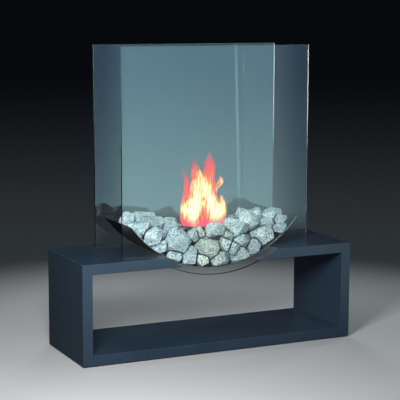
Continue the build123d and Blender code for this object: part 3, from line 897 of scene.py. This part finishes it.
granite = graniteFinish(graniteSettings)
chipped = chippedTree(graniteSettings["inputs"])
skins = brokenSkins(graniteSettings)
quads = 0
for count, group in enumerate(skins):
    quads += stoneGroup(group, skins, chipped, graniteSettings, count + 1)
print("granite broken:", quads, "quads")


siliconeSettings = {
    "dark": paint(34, 38, 42), "pale": paint(46, 51, 56), "haze": 0.012, "grain": 0.001, "roughness": 0.42,
}


def siliconeFinish(settings):
    look = Finish("linerSilicone")
    at = look.at()
    haze = look.clouds(at, settings["haze"], 3)
    return look.done(look.body(
        Base_Color=look.tones(haze, settings),
        Roughness=settings["roughness"] + haze * 0.2,
        Normal=look.bump(look.clouds(at, settings["grain"], 2), 0.0001, 0.4)))


heatBoardSettings = {
    "dark": paint(44, 45, 46), "pale": paint(62, 63, 63), "mica": paint(112, 108, 96),
    "fibre": 0.002, "flake": 0.0016, "roughness": 0.88,
}


def heatBoardFinish(settings):
    look = Finish("heatBoard")
    at = look.at()
    fibre = look.clouds(look.stretch(at, (1, 0.25, 1)), settings["fibre"], 4)
    flake = look.flakes(at, settings["flake"])
    colour = look.tones(fibre, settings)
    colour = look.blend(look.between(flake, 0.82, 0.9, 0, 0.6), colour, settings["mica"])
    return look.done(look.body(
        Base_Color=colour, Roughness=settings["roughness"],
        Normal=look.bump(fibre + flake * 0.4, 0.0005, 0.6)))


burnerSettings = {
    "dark": paint(172, 173, 175), "pale": paint(194, 195, 197),
    # heat colours outwards from the opening: blue, violet, straw, bare steel
    "heat": [(0.30, paint(96, 92, 112)), (0.48, paint(132, 110, 112)), (0.66, paint(178, 158, 124)),
             (0.95, paint(186, 187, 188))],
    "heatSpread": 18.0,  # how fast they follow on each other, per metre
    "heatWaver": 0.012,
    "openingEnd": 0.067,  # from the middle to where its round end starts
    "hotFrom": (0.405, 0.428),  # heights between which the heat colours start
    "brush": 0.0008, "patch": 0.03, "roughness": 0.24,
}


def burnerFinish(settings):
    look = Finish("burnerSteel")
    at = look.at()
    brushed = look.clouds(look.stretch(at, (1 / 22, 1, 1)), settings["brush"], 3)
    patches = look.clouds(at, settings["patch"], 3)
    wide, deep, high = (look.part(at, axis) for axis in range(3))
    reach = (abs(wide) - settings["openingEnd"]).most(0)
    reach = (reach * reach + deep * deep) ** 0.5 + (patches - 0.5) * settings["heatWaver"]
    steel = look.tones(patches, settings)
    heat = look.ramp(reach * settings["heatSpread"], *settings["heat"])
    return look.done(look.body(
        Base_Color=look.blend(look.between(high, *settings["hotFrom"]), steel, heat),
        Metallic=1.0, Roughness=settings["roughness"] + brushed * 0.16,
        Normal=look.bump(brushed, 0.00005, 0.5)))


woolSettings = {
    "dark": paint(188, 182, 170), "pale": paint(236, 233, 226), "sootAndShade": paint(96, 88, 80),
    "strand": 0.0016, "crossStrand": 0.0014, "pad": 0.02, "roughness": 0.95,
}


def woolFinish(settings):
    look = Finish("ceramicWool")
    at = look.at()
    strands = look.clouds(look.stretch(at, (0.3, 1, 1), (0, 0, 0.5)), settings["strand"], 5, 0.7)
    crossed = look.clouds(look.stretch(at, (1, 0.3, 1), (0, 0, 0.4)), settings["crossStrand"], 5, 0.7)
    strands = strands.least(crossed)
    pads = look.clouds(at, settings["pad"], 3)
    colour = look.ramp(strands, (0.25, settings["dark"]), (0.6, settings["pale"]))
    colour = look.blend(look.between(pads, 0.52, 0.72, 0, 0.55), colour, settings["sootAndShade"])
    return look.done(look.body(
        Base_Color=colour, Roughness=settings["roughness"], Normal=look.bump(strands + pads, 0.0014, 0.9)))


zincSettings = {
    "dark": paint(150, 154, 158), "pale": paint(190, 194, 198), "spangle": 0.0018, "roughness": 0.32,
}


def zincFinish(settings):
    look = Finish("zincSteel")
    spangle = look.flakes(look.at(), settings["spangle"])
    colour = look.ramp(spangle, (0.0, settings["dark"]), (1.0, settings["pale"]))
    return look.done(look.body(
        Base_Color=colour, Metallic=1.0, Roughness=settings["roughness"] + spangle * 0.2))


glideSettings = {
    "dark": paint(24, 25, 27), "pale": paint(36, 37, 40), "patch": 0.008, "grain": 0.0011, "roughness": 0.55,
}


def glideFinish(settings):
    look = Finish("glidePlastic")
    at = look.at()
    patches = look.clouds(at, settings["patch"], 3)
    return look.done(look.body(
        Base_Color=look.tones(patches, settings),
        Roughness=settings["roughness"], Normal=look.bump(look.cells(at, settings["grain"]), 0.0002, 0.5)))


beechSettings = {
    "dark": paint(196, 158, 116), "pale": paint(218, 184, 144), "pore": paint(140, 98, 66),
    "grain": 0.003, "pores": 0.0007, "roughness": 0.6,
}


def beechFinish(settings):
    look = Finish("beech")
    at = look.at()
    grain = look.clouds(look.stretch(at, (1, 0.08, 1)), settings["grain"], 4)
    pores = look.clouds(look.stretch(at, (1, 0.15, 1)), settings["pores"], 2)
    colour = look.tones(grain, settings)
    colour = look.blend(look.between(pores, 0.62, 0.72, 0, 0.5), colour, settings["pore"])
    return look.done(look.body(
        Base_Color=colour, Roughness=settings["roughness"], Normal=look.bump(grain, 0.0002, 0.4)))


dress(siliconeFinish(siliconeSettings), "front_groove_liners", "rear_groove_liners")
dress(heatBoardFinish(heatBoardSettings), "left_bowl_rest", "right_bowl_rest")
dress(burnerFinish(burnerSettings), "burner_tank", "burner_top_plate", "shutter_guides", "shutter",
      "shutter_knob", "burner_stand")
dress(woolFinish(woolSettings), "ceramic_wool")
dress(zincFinish(zincSettings), "glide_nails")
dress(glideFinish(glideSettings), "floor_glides")
dress(beechFinish(beechSettings), "mitre_tenons")
print("small parts finished")


fireSettings = {
    "rings": 36,
    "segments": 24,
    "thinnest": 0.0008,
    "voxel": 0.0018,
    "smoothing": 3,
    "samples": 40,  # places along each tongue that the colours are worked out from
    "sway": 0.0042,  # how far the noise pushes the surface about
    "swaySize": 0.036,
    "swayFrom": 0.46,  # the height where that starts, and over how much it grows
    "swayOver": 0.12,
    "swaySeed": 1795522548,  # of that noise; without one the flame differs from run to run
    # each tongue: its y, its depth for its width, and from its foot to its tip x, z and half width
    "tongues": {
        "main": (0.004, 0.50, [
            (0.020, 0.447, 0.030), (0.018, 0.475, 0.058), (0.022, 0.520, 0.060), (0.028, 0.565, 0.042),
            (0.029, 0.600, 0.031), (0.031, 0.640, 0.032), (0.034, 0.672, 0.029), (0.034, 0.700, 0.019),
            (0.031, 0.727, 0.010), (0.026, 0.764, 0.002)]),
        "middle": (-0.004, 0.6, [
            (-0.035, 0.449, 0.020), (-0.036, 0.500, 0.038), (-0.030, 0.560, 0.030), (-0.027, 0.612, 0.019),
            (-0.030, 0.664, 0.019), (-0.034, 0.696, 0.011), (-0.039, 0.734, 0.002)]),
        "left": (0.005, 0.65, [
            (-0.060, 0.452, 0.020), (-0.063, 0.490, 0.027), (-0.062, 0.543, 0.021), (-0.058, 0.590, 0.018),
            (-0.062, 0.626, 0.013), (-0.075, 0.658, 0.008), (-0.092, 0.702, 0.002)]),
        "middleRight": (0.006, 0.6, [
            (-0.008, 0.452, 0.016), (-0.004, 0.520, 0.022), (0.000, 0.580, 0.018), (-0.004, 0.628, 0.012),
            (-0.003, 0.655, 0.006), (0.001, 0.676, 0.001)]),
        "wisp": (-0.006, 0.8, [
            (0.046, 0.570, 0.008), (0.058, 0.594, 0.011), (0.074, 0.613, 0.013), (0.080, 0.630, 0.008),
            (0.074, 0.650, 0.001)]),
        "right": (0.002, 0.6, [
            (0.056, 0.447, 0.028), (0.062, 0.480, 0.040), (0.074, 0.515, 0.028), (0.067, 0.548, 0.013),
            (0.061, 0.590, 0.001)]),
        "edge": (-0.003, 0.7, [
            (0.080, 0.449, 0.012), (0.086, 0.485, 0.017), (0.092, 0.520, 0.015), (0.090, 0.548, 0.006),
            (0.083, 0.574, 0.001)]),
    },
    "cores": {
        "left": (-0.006, 0.40, [
            (-0.028, 0.446, 0.003), (-0.038, 0.468, 0.018), (-0.045, 0.494, 0.032), (-0.040, 0.520, 0.034),
            (-0.030, 0.546, 0.027), (-0.026, 0.575, 0.021), (-0.023, 0.605, 0.015), (-0.023, 0.636, 0.007),
            (-0.024, 0.660, 0.001)]),
        "corner": (-0.004, 0.5, [
            (-0.034, 0.484, 0.010), (-0.052, 0.500, 0.022), (-0.068, 0.512, 0.021), (-0.082, 0.522, 0.012),
            (-0.097, 0.532, 0.001)]),
        "middle": (-0.002, 0.5, [
            (0.046, 0.468, 0.012), (0.047, 0.500, 0.028), (0.038, 0.530, 0.029), (0.026, 0.560, 0.024),
            (0.012, 0.592, 0.020), (0.000, 0.625, 0.013), (-0.008, 0.655, 0.007), (-0.012, 0.682, 0.001)]),
        "glow": (0.003, 0.6, [
            (0.026, 0.560, 0.014), (0.032, 0.590, 0.013), (0.036, 0.612, 0.007), (0.034, 0.636, 0.001)]),
        "wisp": (-0.004, 0.6, [
            (0.060, 0.584, 0.003), (0.072, 0.604, 0.007), (0.079, 0.621, 0.006), (0.075, 0.640, 0.001)]),
        "right": (0.002, 0.5, [
            (0.062, 0.466, 0.010), (0.072, 0.495, 0.026), (0.086, 0.520, 0.018), (0.087, 0.540, 0.010),
            (0.081, 0.568, 0.001)]),
    },
}


def level(levels, share):
    # a smooth curve through the levels, from 0 at the foot to 1 at the tip
    spot = share * (len(levels) - 1)
    index = min(int(spot), len(levels) - 2)
    part = spot - index
    around = (levels[max(0, min(len(levels) - 1, index + step))] for step in (-1, 0, 1, 2))
    found = []
    for a, b, c, d in zip(*around):
        found.append(0.5 * (2 * b + (c - a) * part + (2 * a - 5 * b + 4 * c - d) * part**2
                            + (3 * b - a - 3 * c + d) * part**3))
    return found


def climb(levels, count):
    # even steps from the foot to the tip, each as its share of the way and its x, z and half width
    return [(step / count, level(levels, step / count)) for step in range(count + 1)]


def tongueMesh(work, y, depth, levels, settings):
    segments = settings["segments"]
    rows = []
    for share, (x, z, half) in climb(levels, settings["rings"]):
        half = max(half, settings["thinnest"])
        rows.append([work.verts.new((
            x + half * math.cos(2 * math.pi * turn / segments),
            y + half * depth * math.sin(2 * math.pi * turn / segments), z)) for turn in range(segments)])
    for lower, upper in zip(rows, rows[1:]):
        for turn in range(segments):
            after = (turn + 1) % segments
            work.faces.new((lower[turn], lower[after], upper[after], upper[turn]))
    work.faces.new(rows[0][::-1])
    work.faces.new(rows[-1])


def depthIn(points, tongues, samples):
    # how far each point lies inside the tongues' outline, seen along the depth
    best = numpy.full(len(points), -1.0)
    for y, depth, levels in tongues.values():
        for share, (x, z, half) in climb(levels, samples):
            best = numpy.maximum(best, half - numpy.hypot(points[:, 0] - x, points[:, 2] - z))
    return best


def fireShell(name, group, settings):
    work = bmesh.new()
    samples = []
    for y, depth, levels in settings[group].values():
        tongueMesh(work, y, depth, levels, settings)
        samples += [(Vector((x, y, z)), share) for share, (x, z, half) in climb(levels, settings["samples"])]
    # one skin around all the tongues
    mesh = remade(plainMesh(name, work), "REMESH", mode="VOXEL", voxel_size=settings["voxel"],
                  use_smooth_shade=True)
    mesh = remade(mesh, "SMOOTH", factor=0.5, iterations=settings["smoothing"])
    tree = KDTree(len(samples))
    for index, (point, share) in enumerate(samples):
        tree.insert(point, index)
    tree.balance()
    points = numpy.array([vert.co for vert in mesh.vertices])
    store(mesh, "rise", [samples[tree.find(vert.co)[1]][1] for vert in mesh.vertices])
    store(mesh, "warmth", depthIn(points, settings["cores"], settings["samples"]))
    store(mesh, "inside", depthIn(points, settings[group], settings["samples"]))
    # the tongues waver more towards their tips, and both shells in the same way
    noise.seed_set(settings["swaySeed"])
    for vert in mesh.vertices:
        spot = Vector((vert.co.x, vert.co.y, vert.co.z * 0.6)) / settings["swaySize"]
        free = min(1.0, max(0.0, (vert.co.z - settings["swayFrom"]) / settings["swayOver"]))
        push = noise.noise_vector(spot) + 0.5 * noise.noise_vector(spot * 2.7)
        vert.co += Vector((push.x, push.y * 0.5, push.z * 0.4)) * settings["sway"] * free
    mesh.shade_smooth()
    return mesh


# the red shell's colour follows its depth in the bright cores, the bright one's its depth in itself
flameSettings = {
    "outerFire": {
        "reads": "warmth", "streaks": 0.042, "warm": (-0.013, 0.012), "strength": 1.4, "alpha": (0.80, 0.55),
        "mottle": 1.4, "rim": 0.014, "rimLeft": 0.0, "tip": (0.60, 0.98), "foot": paint(246, 88, 124),
        "stops": [(0.00, paint(206, 20, 44)), (0.30, paint(246, 62, 40)), (0.62, paint(250, 116, 52)),
                  (0.85, paint(255, 210, 100)), (1.00, paint(255, 240, 170))],
    },
    "innerFire": {
        "reads": "inside", "streaks": 0.028, "warm": (-0.001, 0.024), "strength": 1.3, "alpha": (0.70, 0.95),
        "mottle": 0.0, "rim": 0.006, "rimLeft": 0.1, "tip": (0.86, 1.04), "foot": paint(255, 176, 110),
        "stops": [(0.00, paint(255, 132, 72)), (0.22, paint(255, 186, 92)), (0.45, paint(255, 226, 130)),
                  (0.70, paint(255, 246, 190)), (1.00, paint(255, 253, 236))],
    },
    "lickSize": 0.011,
    "tearSize": 0.0075,
    "coldest": 0.15,  # where the coldest parts lie among the stops
    "footHeights": (0.458, 0.492),
    "paneDepth": (2.5, 3.5),  # seen through one pane, but not again in the mirror of the other one
}


def fireFinish(name, shared):
    settings = shared[name]
    look = Finish(name)
    at = look.at()
    licks = look.clouds(look.stretch(at, (1, 1, 0.2)), shared["lickSize"], 3) - 0.5
    torn = look.clouds(look.stretch(at, (1, 1, 0.16), (0, 0.12, 0)), shared["tearSize"], 2) - 0.5
    source = look.stored(settings["reads"])
    warm = look.between(source + licks * 0.02 + torn * settings["streaks"], *settings["warm"])
    spot = warm * (1 - shared["coldest"]) + shared["coldest"] + torn * settings["mottle"]
    foot = look.between(look.part(at, 2) + licks * 0.03, *shared["footHeights"], 1, 0)
    colour = look.blend(foot * 0.8, look.ramp(spot, *settings["stops"]), settings["foot"])
    alpha = look.between(warm, 0.3, 1.0, *settings["alpha"])
    inside = look.stored("inside") + licks * 0.012 + torn * 0.012
    rim = look.between(inside, -0.001, settings["rim"], settings["rimLeft"], 1)
    tip = look.between(look.stored("rise") + licks * 0.3 + torn * 0.5, *settings["tip"], 1, 0)
    direct = look.between(look.ray("Transmission Depth"), *shared["paneDepth"], 1, 0)
    return look.done(look.body(
        Base_Color=(0, 0, 0, 1), Specular_IOR_Level=0.0, Roughness=1.0,
        Emission_Color=colour, Emission_Strength=settings["strength"], Alpha=alpha * rim * tip * direct))


for name, group, finish in (("fire_tongues", "tongues", "outerFire"), ("fire_core", "cores", "innerFire")):
    fire = place(name, fireShell(name, group, fireSettings), fireFinish(finish, flameSettings), "burner")
    fire.visible_glossy = False  # the panes mirror no second fire
print("fire lit")
